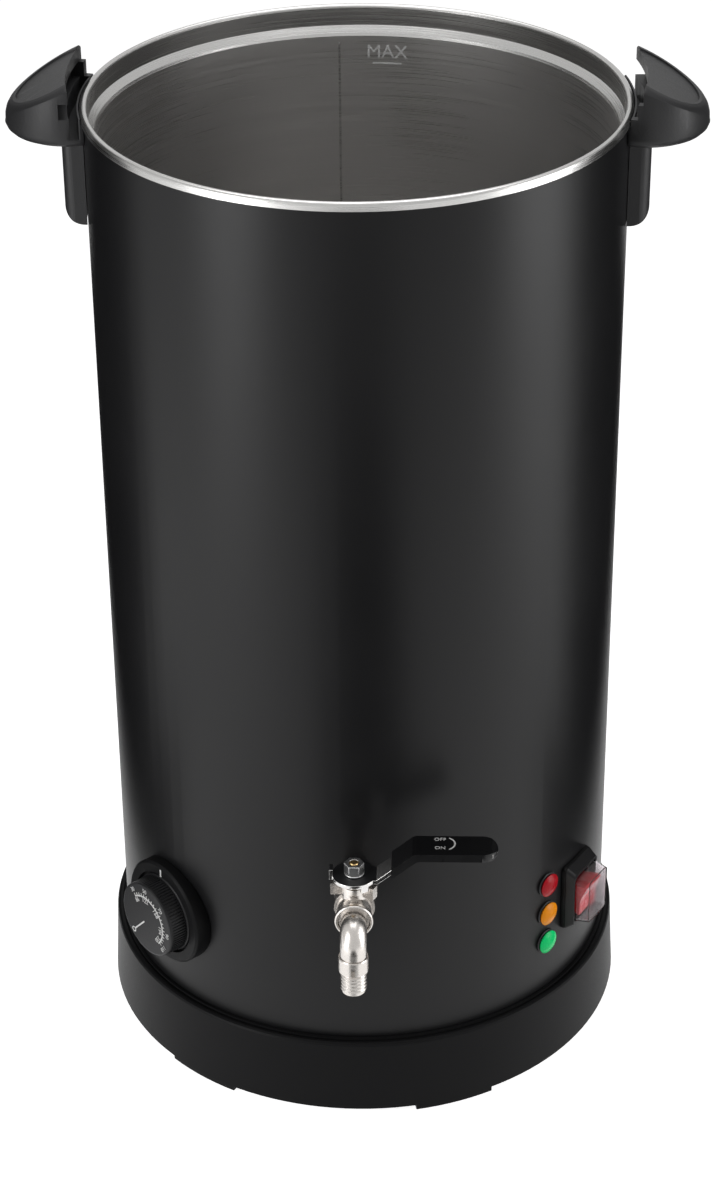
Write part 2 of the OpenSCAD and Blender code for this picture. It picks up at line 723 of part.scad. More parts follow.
// cast tap body: threaded tail, hexagon, chamber, bonnet and stop lugs
module valve_body() {
    d = ball_y;
    color(nickel) difference() {
        union() {
            bar(0, tap_z, pot_r - 12, shell_r + 4.5, 6.5, $fn = 48);
            for (i = [0 : 5]) bar(0, tap_z, pot_r - 11.4 + i * 0.8, pot_r - 11 + i * 0.8, 6.6, $fn = 48);
            hex_bar(0, tap_z, shell_r + 4, d - 10.5, 19);
            bar(0, tap_z, d - 10.6, d + 1.5, 9.9);
            bar(0, tap_z, d + 1, d + 10, 8.3);
            translate([0, -d, tap_z + 2]) cylinder(r = 6.3, h = 11.4, $fn = 64);
            for (a = [-30, -176]) translate([0, -d, 0]) rotate([0, 0, a]) difference() {
                translate([4, -1.9, tap_z + 8.6]) cube([7.6, 3.8, 6.4]);
                translate([0, 0, tap_z + 13.3]) cylinder(r = 6.4, h = 8, $fn = 64);
            }
        }
        bar(0, tap_z, pot_r - 14, d, flow_d / 2, $fn = 48);
        bar(0, tap_z, d - 8, d + 12, 7.2);
        translate([0, -d, tap_z]) cylinder(r = stem_r + run, h = 18, $fn = 64);
        translate([0, -d, tap_z + 10.9]) cylinder(r = 4.6, h = 5, $fn = 64);
    }
}

module seat(d1, d2) {
    difference() {
        bar(0, tap_z, d1, d2, 6.9);
        bar(0, tap_z, d1 - 1, d2 + 1, flow_d / 2 + 0.2, $fn = 48);
        translate([0, -ball_y, tap_z]) sphere(r = ball_r + 0.25);
    }
}

module valve_seats() {
    color([0.93, 0.93, 0.9]) {
        seat(ball_y - 7.7, ball_y - 4.6);
        seat(ball_y + 4.6, ball_y + 7.7);
    }
}

// screwed front end that holds the outer seat and the spout's flange
module valve_end() {
    d = ball_y;
    color(nickel) difference() {
        union() {
            bar(0, tap_z, d + 8, d + 10.5, 7);
            translate([0, -d - 10.3, tap_z]) rotate([90, 0, 0]) rotate_extrude()
                polygon([[0, 0], [8.8, 0], [9.35, 0.6], [9.35, 2.6], [8.8, 3.2], [0, 3.2]]);
        }
        bar(0, tap_z, d + 6, d + 20, flow_d / 2 + 0.2, $fn = 48);
        bar(0, tap_z, d + 11.2, d + 20, 7.8);
    }
}

module valve_ball() {
    color(steel) translate([0, -ball_y, tap_z]) difference() {
        sphere(r = ball_r);
        rotate([0, 90, 0]) cylinder(r = flow_d / 2, h = 30, center = true, $fn = 48);
        translate([-8, -1.2, ball_r - 1.7]) cube([16, 2.4, 4]);
    }
}

// stem with a flat tongue in the ball and flats for the lever
module valve_stem() {
    color(brass) translate([0, -ball_y, 0]) {
        translate([0, 0, tap_z + ball_r + 0.1]) cylinder(r = stem_r, h = hub_z - tap_z - ball_r - 0.2, $fn = 64);
        intersection() {
            translate([0, 0, tap_z + ball_r - 1.5]) cylinder(r = stem_r, h = 3, $fn = 64);
            translate([-4, -1.05, tap_z + ball_r - 1.5]) cube([8, 2.1, 3]);
        }
        intersection() {
            translate([0, 0, hub_z - 0.8]) cylinder(r = stem_r, h = 2.8, $fn = 64);
            translate([-4, -2.3, hub_z - 0.8]) cube([8, 4.6, 4]);
        }
        translate([0, 0, hub_z + 1.2]) cylinder(r = 2.25, h = stem_z - hub_z - 1.6, $fn = 48);
        translate([0, 0, stem_z - 0.5]) cylinder(r1 = 2.25, r2 = 1.85, h = 0.5, $fn = 48);
    }
}

module stem_packing() {
    color([0.93, 0.93, 0.9]) translate([0, -ball_y, 0]) tube(stem_r + fit, 4.4, tap_z + 11.1, tap_z + 13.2, $fn = 64);
}

module gland_nut() {
    color(brass) translate([0, -ball_y, 0]) tube(stem_r + fit, 5.9, tap_z + 13.7, hub_z - 0.4, $fn = 64);
}

// pressed lever: hub with a stop tab and an upturned ear, cranked arm
module valve_lever() {
    h = hub_z;
    color([0.6, 0.6, 0.6]) translate([0, -ball_y, 0]) difference() {
        union() {
            translate([0, 0, h]) cylinder(r = 10.8, h = 2);
            rotate([0, 0, -70]) rotate_extrude(angle = 24) translate([8.4, h - 3]) square([2, 4]);
            translate([-12, -2.6, h]) cube([4, 5.2, 2]);
            translate([-12, -2.6, h]) cube([1.8, 5.2, 5.6]);
            translate([0, 6, 0]) rotate([90, 0, 0]) linear_extrude(height = 12)
                polygon([[6, h], [11.5, h], [30, h + 15.7], [lever_l - 2.5, h + 15.7],
                    [lever_l - 2.5, h + 17.7], [29.2, h + 17.7], [10.7, h + 2], [6, h + 2]]);
        }
        intersection() {
            translate([0, 0, h - 1]) cylinder(r = stem_r + 0.15, h = 4, $fn = 64);
            translate([-4, -2.45, h - 1]) cube([8, 4.9, 4]);
        }
    }
}

// dipped sleeve over the arm, rounded at its tip
module lever_sleeve() {
    h = hub_z;
    color(dark) translate([0, -ball_y, 0]) difference() {
        intersection() {
            translate([0, 7.8, 0]) rotate([90, 0, 0]) linear_extrude(height = 15.6)
                polygon([[18, h + 4.1], [29.6, h + 13.9], [31.2, h + 14.5], [lever_l - 3, h + 14.5],
                    [lever_l - 1, h + 15.1], [lever_l, h + 16.3], [lever_l, h + 17],
                    [lever_l - 1, h + 18.1], [lever_l - 3, h + 18.8], [29.8, h + 18.8],
                    [28, h + 18.1], [18, h + 9.6]]);
            union() {
                translate([10, -7.8, 0]) cube([lever_l - 17.8, 15.6, 400]);
                translate([lever_l - 7.8, 0, 0]) cylinder(r = 7.8, h = 400);
            }
        }
        translate([0, 6.2, 0]) rotate([90, 0, 0]) linear_extrude(height = 12.4)
            polygon([[10, h - 1.5], [11.5, h - 0.25], [30.1, h + 15.5], [lever_l - 2.3, h + 15.5],
                [lever_l - 2.3, h + 17.9], [29.1, h + 17.9], [10, h + 1.7]]);
    }
}

module lever_nut() {
    color(steel) translate([0, -ball_y, 0]) {
        tube(2.5, 4.9, hub_z + 2.2, hub_z + 3.1, $fn = 48);
        hex_nut(hub_z + 3.3, hub_z + 8.3, 8.6, 2.45);
    }
}

module spout_elbow() {
    b = 8;
    r = 6.475;
    drop = spout_l - 17.1;
    color(steel) translate([0, -spout_y, tap_z - b]) difference() {
        union() {
            translate([0, b, 0]) rotate([0, 0, 90]) rotate([90, 0, 180]) rotate_extrude(angle = 90)
                translate([b, 0]) circle(r = r);
            translate([0, 12.5, b]) rotate([90, 0, 0]) cylinder(r = r, h = 12.5 - b);
            translate([0, 12.7, b]) rotate([90, 0, 0]) cylinder(r = 7.5, h = 1);
            translate([0, 0, b - drop]) cylinder(r = r, h = drop - b);
        }
        translate([0, b, 0]) rotate([0, 0, 90]) rotate([90, 0, 180]) rotate_extrude(angle = 90)
            translate([b, 0]) circle(r = flow_d / 2 + 0.6);
        translate([0, 14, b]) rotate([90, 0, 0]) cylinder(r = flow_d / 2 + 0.6, h = 14 - b);
        translate([0, 0, b - drop - 1]) cylinder(r = flow_d / 2 + 0.6, h = drop + 1 - b);
    }
}

// nozzle: socket with a sight slot, then a threaded neck
module spout_nozzle() {
    z = tap_z - spout_l;
    color(nickel) translate([0, -spout_y, 0]) difference() {
        union() {
            translate([0, 0, z + 11.6]) rotate_extrude() polygon([[0, 0], [6.6, 0], [7.3, 0.8], [7.3, 8.3],
                [7, 8.7], [0, 8.7]]);
            translate([0, 0, z]) cylinder(r = 5.75, h = 12);
            for (i = [0 : 4]) translate([0, 0, z + 1.2 + i * 2]) rotate_extrude()
                polygon([[0, 0], [5.6, 0], [6.45, 0.8], [6.45, 1.1], [5.6, 1.9], [0, 1.9]]);
        }
        translate([0, 0, z - 1]) cylinder(r = flow_d / 2 + 0.2, h = 30);
        translate([0, 0, z + 16.8]) cylinder(r = 6.6, h = 30);
        translate([-0.9, -9, z + 12.6]) cube([1.8, 4, 5]);
    }
}

// strap seen from above, with rounded outer corners
module strap_plan(w, d) {
    translate([shell_r - 10, -w]) square([d + 5, 2 * w]);
    translate([shell_r - 10, 5 - w]) square([d + 10, 2 * w - 10]);
    for (s = [-1, 1]) translate([shell_r + d - 5, s * (w - 5)]) circle(r = 5, $fn = 48);
}

// strap seen from the side, rounded at its foot
module strap_side(d) {
    translate([shell_r - 10, d - strap_l]) square([10, strap_l - d]);
    translate([shell_r - 10, -strap_l + d]) square([d + 10, strap_l - d - 8]);
    translate([shell_r, d - strap_l]) circle(r = d, $fn = 96);
    translate([shell_r - 10, -strap_l]) square([10, d]);
}

// moulded side grip over a strap, with a slot that takes the lid's tab
module handle() {
    z = rim_z;
    g = grip_r;
    d = 9.4;
    tilt = 28.4;
    c = g * (1 / cos(tilt) - cos(tilt)) / 2;
    t = g * (1 / cos(tilt) + cos(tilt)) / 2;
    difference() {
        union() {
            intersection() {
                translate([grip_c, 0, z]) rotate_extrude() polygon([[0, -22.4], [2.7, -22], [4.4, -20.6], [8, -19.6],
                    [g - 17.2, -19], [g - 11, -17.8], [g - 6, -16.3], [g - 2.7, -14.7], [g - 0.9, -12.9], [g, -10.6],
                    [g, 20], [0, 20]]);
                translate([grip_c, 0, z + 13.4]) rotate([0, tilt, 0]) translate([-60, -60, -90]) cube([160, 120, 90]);
            }
            intersection() {
                translate([0, 0, z - strap_l]) linear_extrude(height = strap_l - 8) strap_plan(strap_w / 2, d);
                translate([0, 50, z]) rotate([90, 0, 0]) linear_extrude(height = 100) strap_side(d);
            }
        }
        translate([0, 0, z - 200]) cylinder(r = shell_r + fit, h = 240, $fn = 480);
        translate([0, 0, z - 4.4]) cylinder(r = rim_r + 0.4, h = 50, $fn = 480);
        translate([0, 0, z - 0.7]) cylinder(r = shell_r + 4.8, h = 50);
        translate([0, 0, z + 6.3]) cylinder(r = shell_r + 7, h = 50);
        translate([grip_c, 0, z + 13.4]) rotate([0, tilt, 0]) translate([c, 0, -0.8]) cylinder(r = t - 6.5, h = 20);
        translate([grip_c, 0, z + 13.4]) rotate([0, tilt, 0]) translate([c, 0, 0]) rotate_extrude()
            polygon([[t - 5, 0], [t - 2.6, -0.5], [t - 0.6, -1.7], [t + 1.2, -3.6], [t + 3.4, -7.2], [t + 20, -7.2],
                [t + 20, 6], [t - 5, 6]]);
        rotate([0, 0, -11.3]) rotate_extrude(angle = 60) {
            translate([shell_r - 10, z - 1]) square([21.5, 7.5]);
            translate([shell_r + 2.4, z - 11]) square([4.4, 12]);
        }
        for (p = screw_z) translate([shell_r - 4, 0, p]) rotate([0, 90, 0]) cylinder(r = 2.9, h = 10.4, $fn = 48);
    }
}

module handle_right() {
    color(black) handle();
}

module handle_left() {
    color(black) rotate([0, 0, 180]) handle();
}

module handle_inserts() {
    color(brass) for (a = [90, -90], z = screw_z) at(a) difference() {
        bar(0, z, shell_r + 0.7, shell_r + 6.2, 2.7, $fn = 48);
        bar(0, z, shell_r, shell_r + 8, 1.8, $fn = 32);
    }
}

module handle_screws() {
    color(steel) for (a = [90, -90], z = screw_z) at(a) difference() {
        union() {
            bar(0, z, shell_in - 0.4, shell_r + 5.9, 1.6, $fn = 32);
            bar(0, z, shell_in - 2.1, shell_in - 0.25, 3.4, $fn = 32);
        }
        block(-2, 2, shell_in - 3, shell_in - 1.3, z - 0.4, z + 0.4);
    }
}

outer_shell();
inner_pot();
base_ring();
base_cover();
foot_pads();
cover_screws();
shell_brackets();
bracket_screws();
heater_plate();
heating_ring();
heater_clamp();
pot_stud();
stud_nut();
thermal_cutout();
thermostat_body();
thermostat_sensor();
thermostat_screws();
thermostat_shaft();
thermostat_knob();
dial_bezel();
lamp_red();
lamp_amber();
lamp_green();
lamp_holders();
lamp_nuts();
switch_body();
switch_rocker();
switch_frame();
switch_boot();
switch_terminals();
power_inlet();
inlet_pins();
inlet_screws();
terminal_block();
terminal_screws();
wiring();
tank_locknut();
inner_gasket();
tank_spacer();
outer_gasket();
valve_body();
valve_seats();
valve_end();
valve_ball();
valve_stem();
stem_packing();
gland_nut();
valve_lever();
lever_sleeve();
lever_nut();
spout_elbow();
spout_nozzle();
handle_right();
handle_left();
handle_inserts();
handle_screws();
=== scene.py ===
import json
import math

import bmesh
import bpy
from mathutils import Matrix, Vector


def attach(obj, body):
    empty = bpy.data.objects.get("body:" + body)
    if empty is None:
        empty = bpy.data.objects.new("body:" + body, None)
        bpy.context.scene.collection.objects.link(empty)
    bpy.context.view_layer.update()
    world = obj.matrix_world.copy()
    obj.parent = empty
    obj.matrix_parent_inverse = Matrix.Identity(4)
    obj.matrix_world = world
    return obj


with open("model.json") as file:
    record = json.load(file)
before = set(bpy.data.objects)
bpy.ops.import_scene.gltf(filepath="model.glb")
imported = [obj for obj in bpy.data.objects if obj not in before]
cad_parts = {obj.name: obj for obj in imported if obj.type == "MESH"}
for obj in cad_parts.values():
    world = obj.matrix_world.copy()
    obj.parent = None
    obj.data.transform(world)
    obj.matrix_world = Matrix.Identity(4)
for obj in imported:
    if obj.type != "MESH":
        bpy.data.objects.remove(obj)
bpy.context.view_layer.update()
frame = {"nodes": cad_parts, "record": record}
node = frame["nodes"]
slot_of = {s["node"]: s["material_slot"] for s in frame["record"]["subparts"]}
scene = bpy.context.scene
scene.view_settings.view_transform = "Standard"

# Places on the part, in metres; azimuths run from the front (-Y) towards +X.
RIM = 0.5017  # height of the pot's rim
PAINTED_LIGHT_DEPTH = 0.016  # how far down inside the pot the rim's darker copy of the steel reaches; below it the wall gets a painted paler copy
SHELL = 0.128  # outer radius of the shell
POT = 0.1225  # inner radius of the pot
DIAL = math.radians(-48.2)
DIAL_Z = 0.0955
TAP_Y = -0.150
HUB_Z = 0.1622  # height of the lever's hub
PAINTED_REFLECTION_END = 0.0115  # the painted dark reflection on the lever's hub top ends here, along X
T = Matrix.Translation
AS_IS = Matrix()


# ---- materials ----
def link(nt, a, b):
    nt.links.new(a, b)


def math_node(nt, operation):
    n = nt.nodes.new("ShaderNodeMath")
    n.operation = operation
    return n


COAT_ROUGH = 0.12
FINE_DETAIL = 4.0
BROAD_DETAIL = 3.0
BROAD_SCALE = 8.0
NOISE_LOW, NOISE_HIGH = 0.3, 0.7
SMOOTHEST = 0.02
BUMP_DEPTH = 0.0002


def noise(nt, vector, scale, detail):
    n = nt.nodes.new("ShaderNodeTexNoise")
    n.inputs["Scale"].default_value = scale
    n.inputs["Detail"].default_value = detail
    link(nt, vector, n.inputs["Vector"])
    return n


def material(name, color, rough, metal=0.0, grain=0.0, grain_scale=400.0, stretch=(1, 1, 1),
             rough_var=0.06, tint=0.06, spec=0.5, coat=0.0):
    """Surface whose roughness and colour vary with a fine and a broad noise; grain adds a bump."""
    m = bpy.data.materials.new(name)
    m.use_nodes = True
    nt = m.node_tree
    p = nt.nodes["Principled BSDF"]
    p.inputs["Metallic"].default_value = metal
    p.inputs["Specular IOR Level"].default_value = spec
    p.inputs["Coat Weight"].default_value = coat
    p.inputs["Coat Roughness"].default_value = COAT_ROUGH
    tc = nt.nodes.new("ShaderNodeTexCoord")
    mp = nt.nodes.new("ShaderNodeMapping")
    mp.inputs["Scale"].default_value = stretch
    link(nt, tc.outputs["Object"], mp.inputs["Vector"])
    fine = noise(nt, mp.outputs["Vector"], grain_scale, FINE_DETAIL)
    broad = noise(nt, tc.outputs["Object"], BROAD_SCALE, BROAD_DETAIL)
    # the mean of the two noises
    mix = math_node(nt, "MULTIPLY_ADD")
    mix.inputs[1].default_value = 0.5
    link(nt, fine.outputs["Fac"], mix.inputs[0])
    half = math_node(nt, "MULTIPLY")
    half.inputs[1].default_value = 0.5
    link(nt, broad.outputs["Fac"], half.inputs[0])
    link(nt, half.outputs[0], mix.inputs[2])
    ramp = nt.nodes.new("ShaderNodeMapRange")
    ramp.inputs["From Min"].default_value = NOISE_LOW
    ramp.inputs["From Max"].default_value = NOISE_HIGH
    ramp.inputs["To Min"].default_value = max(SMOOTHEST, rough - rough_var)
    ramp.inputs["To Max"].default_value = min(1.0, rough + rough_var)
    link(nt, mix.outputs[0], ramp.inputs["Value"])
    link(nt, ramp.outputs["Result"], p.inputs["Roughness"])
    col = nt.nodes.new("ShaderNodeMix")
    col.data_type = "RGBA"
    col.inputs["A"].default_value = [max(0.0, c * (1 - tint)) for c in color] + [1]
    col.inputs["B"].default_value = [min(1.0, c * (1 + tint)) for c in color] + [1]
    link(nt, mix.outputs[0], col.inputs["Factor"])
    link(nt, col.outputs["Result"], p.inputs["Base Color"])
    if grain:
        bump = nt.nodes.new("ShaderNodeBump")
        bump.inputs["Strength"].default_value = grain
        bump.inputs["Distance"].default_value = BUMP_DEPTH
        link(nt, fine.outputs["Fac"], bump.inputs["Height"])
        link(nt, bump.outputs["Normal"], p.inputs["Normal"])
    return m


BRUSHED = dict(metal=1, grain=0.3, grain_scale=260, stretch=(0.04, 0.04, 9), rough_var=0.09, tint=0.08)
LENS = dict(spec=0.14)
# name: colour, roughness, the rest
LOOKS = {
    "shell_black": ((0.006, 0.006, 0.0065), 0.36, dict(grain=0.12, grain_scale=1500, spec=0.2, tint=0.05)),
    "base_black": ((0.009, 0.009, 0.0095), 0.42, dict(grain=0.15, grain_scale=1200, spec=0.06)),
    "handle_black": ((0.022, 0.022, 0.023), 0.44, dict(grain=0.35, grain_scale=1100, spec=0.28)),
    "pot_steel": ((0.53, 0.525, 0.515), 0.27, BRUSHED),
    # the pot's own steel made paler: painted light on its inner wall
    "pot_wall_painted_light": ((0.7, 0.69, 0.68), 0.3, BRUSHED),
    "chrome": ((0.62, 0.61, 0.6), 0.16, dict(metal=1, grain=0.1, grain_scale=500, rough_var=0.05)),
    "plain_steel": ((0.6, 0.6, 0.6), 0.32, dict(metal=1, grain=0.2, grain_scale=500)),
    "tap_nickel": ((0.6, 0.57, 0.54), 0.27,
                   dict(metal=1, grain=0.04, grain_scale=300, rough_var=0.04, tint=0.04)),
    "lever_paint": ((0.012, 0.012, 0.013), 0.35, dict(grain=0.15, grain_scale=900, spec=0.4)),
    "sleeve_black": ((0.004, 0.004, 0.0045), 0.3, dict(grain=0.1, grain_scale=700, spec=0.3)),
    "brass": ((0.6, 0.42, 0.2), 0.3, dict(metal=1, grain=0.15, grain_scale=600)),
    "seal_white": ((0.8, 0.8, 0.78), 0.5, {}),
    "silicone": ((0.02, 0.02, 0.02), 0.6, dict(grain=0.2)),
    "pad_rubber": ((0.015, 0.015, 0.015), 0.75, dict(grain=0.4, grain_scale=900)),
    "heater_aluminium": ((0.6, 0.6, 0.62), 0.35, dict(metal=1, grain=0.2)),
    "element_dark": ((0.12, 0.11, 0.1), 0.5, dict(metal=1, grain=0.3)),
    "inner_plastic": ((0.02, 0.02, 0.022), 0.5, dict(grain=0.2, grain_scale=900)),
    "terminal_cream": ((0.6, 0.57, 0.48), 0.5, dict(grain=0.2)),
    "knob_black": ((0.014, 0.014, 0.015), 0.45, dict(grain=0.25, grain_scale=1100, spec=0.25)),
    "frame_black": ((0.008, 0.008, 0.0085), 0.38, dict(grain=0.15, grain_scale=1200, spec=0.25)),
    "lens_red": ((0.42, 0.006, 0.014), 0.25, LENS),
    "lens_amber": ((0.9, 0.3, 0.006), 0.25, LENS),
    "lens_green": ((0.004, 0.7, 0.19), 0.25, LENS),
    "rocker_red": ((0.5, 0.012, 0.02), 0.25, dict(spec=0.4, coat=0.2)),
    "wire_red": ((0.35, 0.03, 0.02), 0.5, {}),
    # painted highlight for the embossed MAX mark on the pot's wall
    "mark_grey": ((0.85, 0.85, 0.85), 0.5, dict(spec=0.3)),
    "card_black": ((0.01, 0.01, 0.01), 0.9, dict(spec=0.05)),
    "print_white": ((0.72, 0.72, 0.71), 0.55, dict(spec=0.3)),
    "boot_clear": ((0.9, 0.86, 0.88), 0.16, dict(tint=0.02)),
}
M = {name: material(name, color, rough, **rest) for name, (color, rough, rest) in LOOKS.items()}
boot = M["boot_clear"].node_tree.nodes["Principled BSDF"]
boot.inputs["Transmission Weight"].default_value = 1.0
boot.inputs["IOR"].default_value = 1.3

for n, o in node.items():
    o.data.materials.clear()
    o.data.materials.append(M[slot_of[n]])
# Painted reflection: the chrome lever's flat hub top is painted black, standing in for the dark shell it
# reflects; the rest of it is chrome.
lever_mesh = node["valve_lever"].data
lever_mesh.materials.append(M["chrome"])
for f in lever_mesh.polygons:
    f.material_index = 0 if f.normal.z > 0.9 and f.center.x < PAINTED_REFLECTION_END else 1
# Painted light: below the band at the rim, the pot's wall gets a paler, lit copy of the same brushed steel
# as the rest of it.
pot_mesh = node["inner_pot"].data
pot_mesh.materials.append(M["pot_wall_painted_light"])
for f in pot_mesh.polygons:
    if f.center.xy.length < POT + 0.0004 and f.center.z < RIM - PAINTED_LIGHT_DEPTH:
        f.material_index = 1

# ---- helpers ----
PRINT_THICK = 0.00008  # half the thickness of a print


def add(name, mesh, body, mat):
    """Piece in one material that rides with a body."""
    o = bpy.data.objects.new(name, mesh)
    scene.collection.objects.link(o)
    mesh.materials.clear()
    mesh.materials.append(M[mat])
    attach(o, body)


def mesh_from(bm):
    me = bpy.data.meshes.new("m")
    bm.to_mesh(me)
    bm.free()
    return me


def polar(r, deg):
    return r * math.cos(math.radians(deg)), r * math.sin(math.radians(deg))


def arc(cx, cy, r, a0, a1, n):
    """Points of an arc from a0 to a1 degrees, in n steps."""
    points = [polar(r, a0 + (a1 - a0) * i / n) for i in range(n + 1)]
    return [(cx + x, cy + y) for x, y in points]


def outward(az, rho, z):
    """Matrix whose X is sideways, Y is up and Z points out of the shell."""
    u = Vector((math.sin(az), -math.cos(az), 0))
    t = Vector((math.cos(az), math.sin(az), 0))
    m = Matrix((t, Vector((0, 0, 1)), u)).transposed().to_4x4()
    m.translation = u * rho + Vector((0, 0, z))
    return m


def text_mesh(body, size):
    c = bpy.data.curves.new("t", "FONT")
    c.body = body
    c.size = size
    c.extrude = PRINT_THICK
    c.align_x = "CENTER"
    c.align_y = "CENTER"
    c.resolution_u = 4
    o = bpy.data.objects.new("t", c)
    scene.collection.objects.link(o)
    bpy.context.view_layer.update()
    me = bpy.data.meshes.new_from_object(o.evaluated_get(bpy.context.evaluated_depsgraph_get()))
    bpy.data.objects.remove(o)
    return me


def strip(points, width, thick=PRINT_THICK):
    """Flat printed line along 2-D points."""
    bm = bmesh.new()
    rows = []
    for i, p in enumerate(points):
        a = Vector(points[max(i - 1, 0)])
        b = Vector(points[min(i + 1, len(points) - 1)])
        d = (b - a).normalized()
        side = Vector((-d.y, d.x)) * width / 2
        q = Vector(p)
        rows.append([bm.verts.new((*(q + side), z)) for z in (-thick, thick)]
                    + [bm.verts.new((*(q - side), z)) for z in (thick, -thick)])
    for a, b in zip(rows, rows[1:]):
        for k in range(4):
            bm.faces.new((a[k], b[k], b[(k + 1) % 4], a[(k + 1) % 4]))
    bm.faces.new(rows[0])
    bm.faces.new(rows[-1][::-1])
    bmesh.ops.recalc_face_normals(bm, faces=bm.faces)
    return mesh_from(bm)


def joined(meshes):
    """One mesh of several (mesh, matrix) pairs."""
    bm = bmesh.new()
    for me, mx in meshes:
        me.transform(mx)
        bm.from_mesh(me)
    return mesh_from(bm)


def around(me, r, az, z):
    """Wraps a flat mesh (X sideways, Y up) onto the inside of a cylinder."""
    for v in me.vertices:
        a = az - v.co.x / r
        rr = r - v.co.z
        v.co = Vector((rr * math.sin(a), -rr * math.cos(a), z + v.co.y))
    return me


# ---- rounded edges on the moulded and turned pieces ----
ROUNDED = {
    "handle_right": 0.0011, "handle_left": 0.0011, "valve_body": 0.0004, "valve_lever": 0.0004,
    "switch_frame": 0.0006, "power_inlet": 0.0006, "dial_bezel": 0.0005, "switch_rocker": 0.0006,
    "lever_sleeve": 0.0011, "lever_nut": 0.0003, "valve_end": 0.0003,
}
for n, width in ROUNDED.items():
    o = node[n]
    weld = o.modifiers.new("weld", "WELD")
    weld.merge_threshold = 0.00001
    b = o.modifiers.new("edge", "BEVEL")
    b.width = width
    b.segments = 3
    b.limit_method = "ANGLE"
    b.angle_limit = math.radians(34)
    b.harden_normals = True

# ---- the dial's print: two rows of numbers, 21 ticks on an arc, a pointer ending in a ring ----
KNOB_FACE = 0.01655  # out of the shell
BEZEL_FACE = 0.00635
NUMBER_SIZE = 0.0034
NUMBER_ROWS = ((0.0171, "30 50 70 90 110"), (0.0113, "86 122 158 194 230"))
NUMBER_ANGLES = (129, 92, 45, -3, -39)
SCALE_START, TICK_STEP = 129, 8.4
POINTER = -133.5
HAIRLINE, LINE = 0.0005, 0.0008

dial = []
for r, row in NUMBER_ROWS:
    for number, deg in zip(row.split(), NUMBER_ANGLES):
        upright = Matrix.Rotation(math.radians(deg) - math.pi / 2, 4, "Z")
        dial.append((text_mesh(number, NUMBER_SIZE), T((*polar(r, deg), 0)) @ upright))
for i in range(21):
    deg = SCALE_START - TICK_STEP * i
    dial.append((strip([polar(0.0128, deg), polar(0.0151, deg)], HAIRLINE), AS_IS))
dial.append((strip(arc(0, 0, 0.0134, 131, -45, 44), LINE), AS_IS))
dial.append((strip([polar(0.003, POINTER), polar(0.0148, POINTER)], LINE), AS_IS))
dial.append((strip(arc(*polar(0.0164, POINTER), 0.0013, 0, 360, 18), 0.0006), AS_IS))
me = joined(dial)
me.transform(outward(DIAL, SHELL + KNOB_FACE, DIAL_Z))
add("dial_print", me, "dial", "print_white")
me = strip([(0, 0.0219), (0, 0.0262)], 0.0011)
me.transform(outward(DIAL, SHELL + BEZEL_FACE, DIAL_Z))
add("bezel_mark", me, "housing", "print_white")

# ---- the lever's print: OFF and ON with an arc beside them ----
LEVER_TEXT = 0.0033
LEVER_TOP = 0.01885  # over the hub
lever = joined([(text_mesh("OFF", LEVER_TEXT), T((0, 0.0049, 0))),
                (text_mesh("ON", LEVER_TEXT), T((0, -0.0021, 0))),
                (strip(arc(0.0019, 0.0014, 0.0052, 62, -62, 14), 0.0007), AS_IS)])
lever.transform(T((0.0412, TAP_Y, HUB_Z + LEVER_TOP)))
add("lever_print", lever, "tap_handle", "print_white")

# ---- the fill mark and the seam on the pot's wall ----
ON_WALL = POT - 0.00005
# The MAX mark is embossed in the steel; its flat light grey layer is a painted highlight, the light its
# raised letters catch.
mark = joined([(text_mesh("MAX", 0.0098), T((0, 0.0045, 0))),
               (strip([(-0.0073, -0.0013), (0.0073, -0.0013)], LINE), AS_IS)])
# an extra edge down the middle, so that the mark bends with the wall
bm = bmesh.new()
bm.from_mesh(mark)
bmesh.ops.bisect_plane(bm, geom=bm.verts[:] + bm.edges[:] + bm.faces[:],
                       plane_co=(0, 0, 0), plane_no=(1, 0, 0))
bm.to_mesh(mark)
bm.free()
add("fill_mark", around(mark, ON_WALL, math.radians(174.4), 0.4735), "housing", "mark_grey")
seam = strip([(0, -0.18), (0, 0.166)], 0.0011, 0.0002)
add("pot_seam", around(seam, ON_WALL, math.radians(-174.3), 0.317), "housing", "pot_steel")


# ---- floor and cards ----
def quad(name, corners):
    me = bpy.data.meshes.new(name)
    me.from_pydata(corners, [], [(0, 1, 2, 3)])
    o = bpy.data.objects.new(name, me)
    scene.collection.objects.link(o)
    return o


def seen(nt):
    """1 for camera, glossy and transmission rays."""
    lp = nt.nodes.new("ShaderNodeLightPath")
    a = math_node(nt, "MAXIMUM")
    b = math_node(nt, "MAXIMUM")
    link(nt, lp.outputs["Is Camera Ray"], a.inputs[0])
    link(nt, lp.outputs["Is Glossy Ray"], a.inputs[1])
    link(nt, a.outputs[0], b.inputs[0])
    link(nt, lp.outputs["Is Transmission Ray"], b.inputs[1])
    return b.outputs[0]


FLOOR_Z = -0.0002
FLOOR_COLOR = (0.85, 0.85, 0.85, 1)
FLOOR_GLOW = 0.9  # for the rays that seen() names

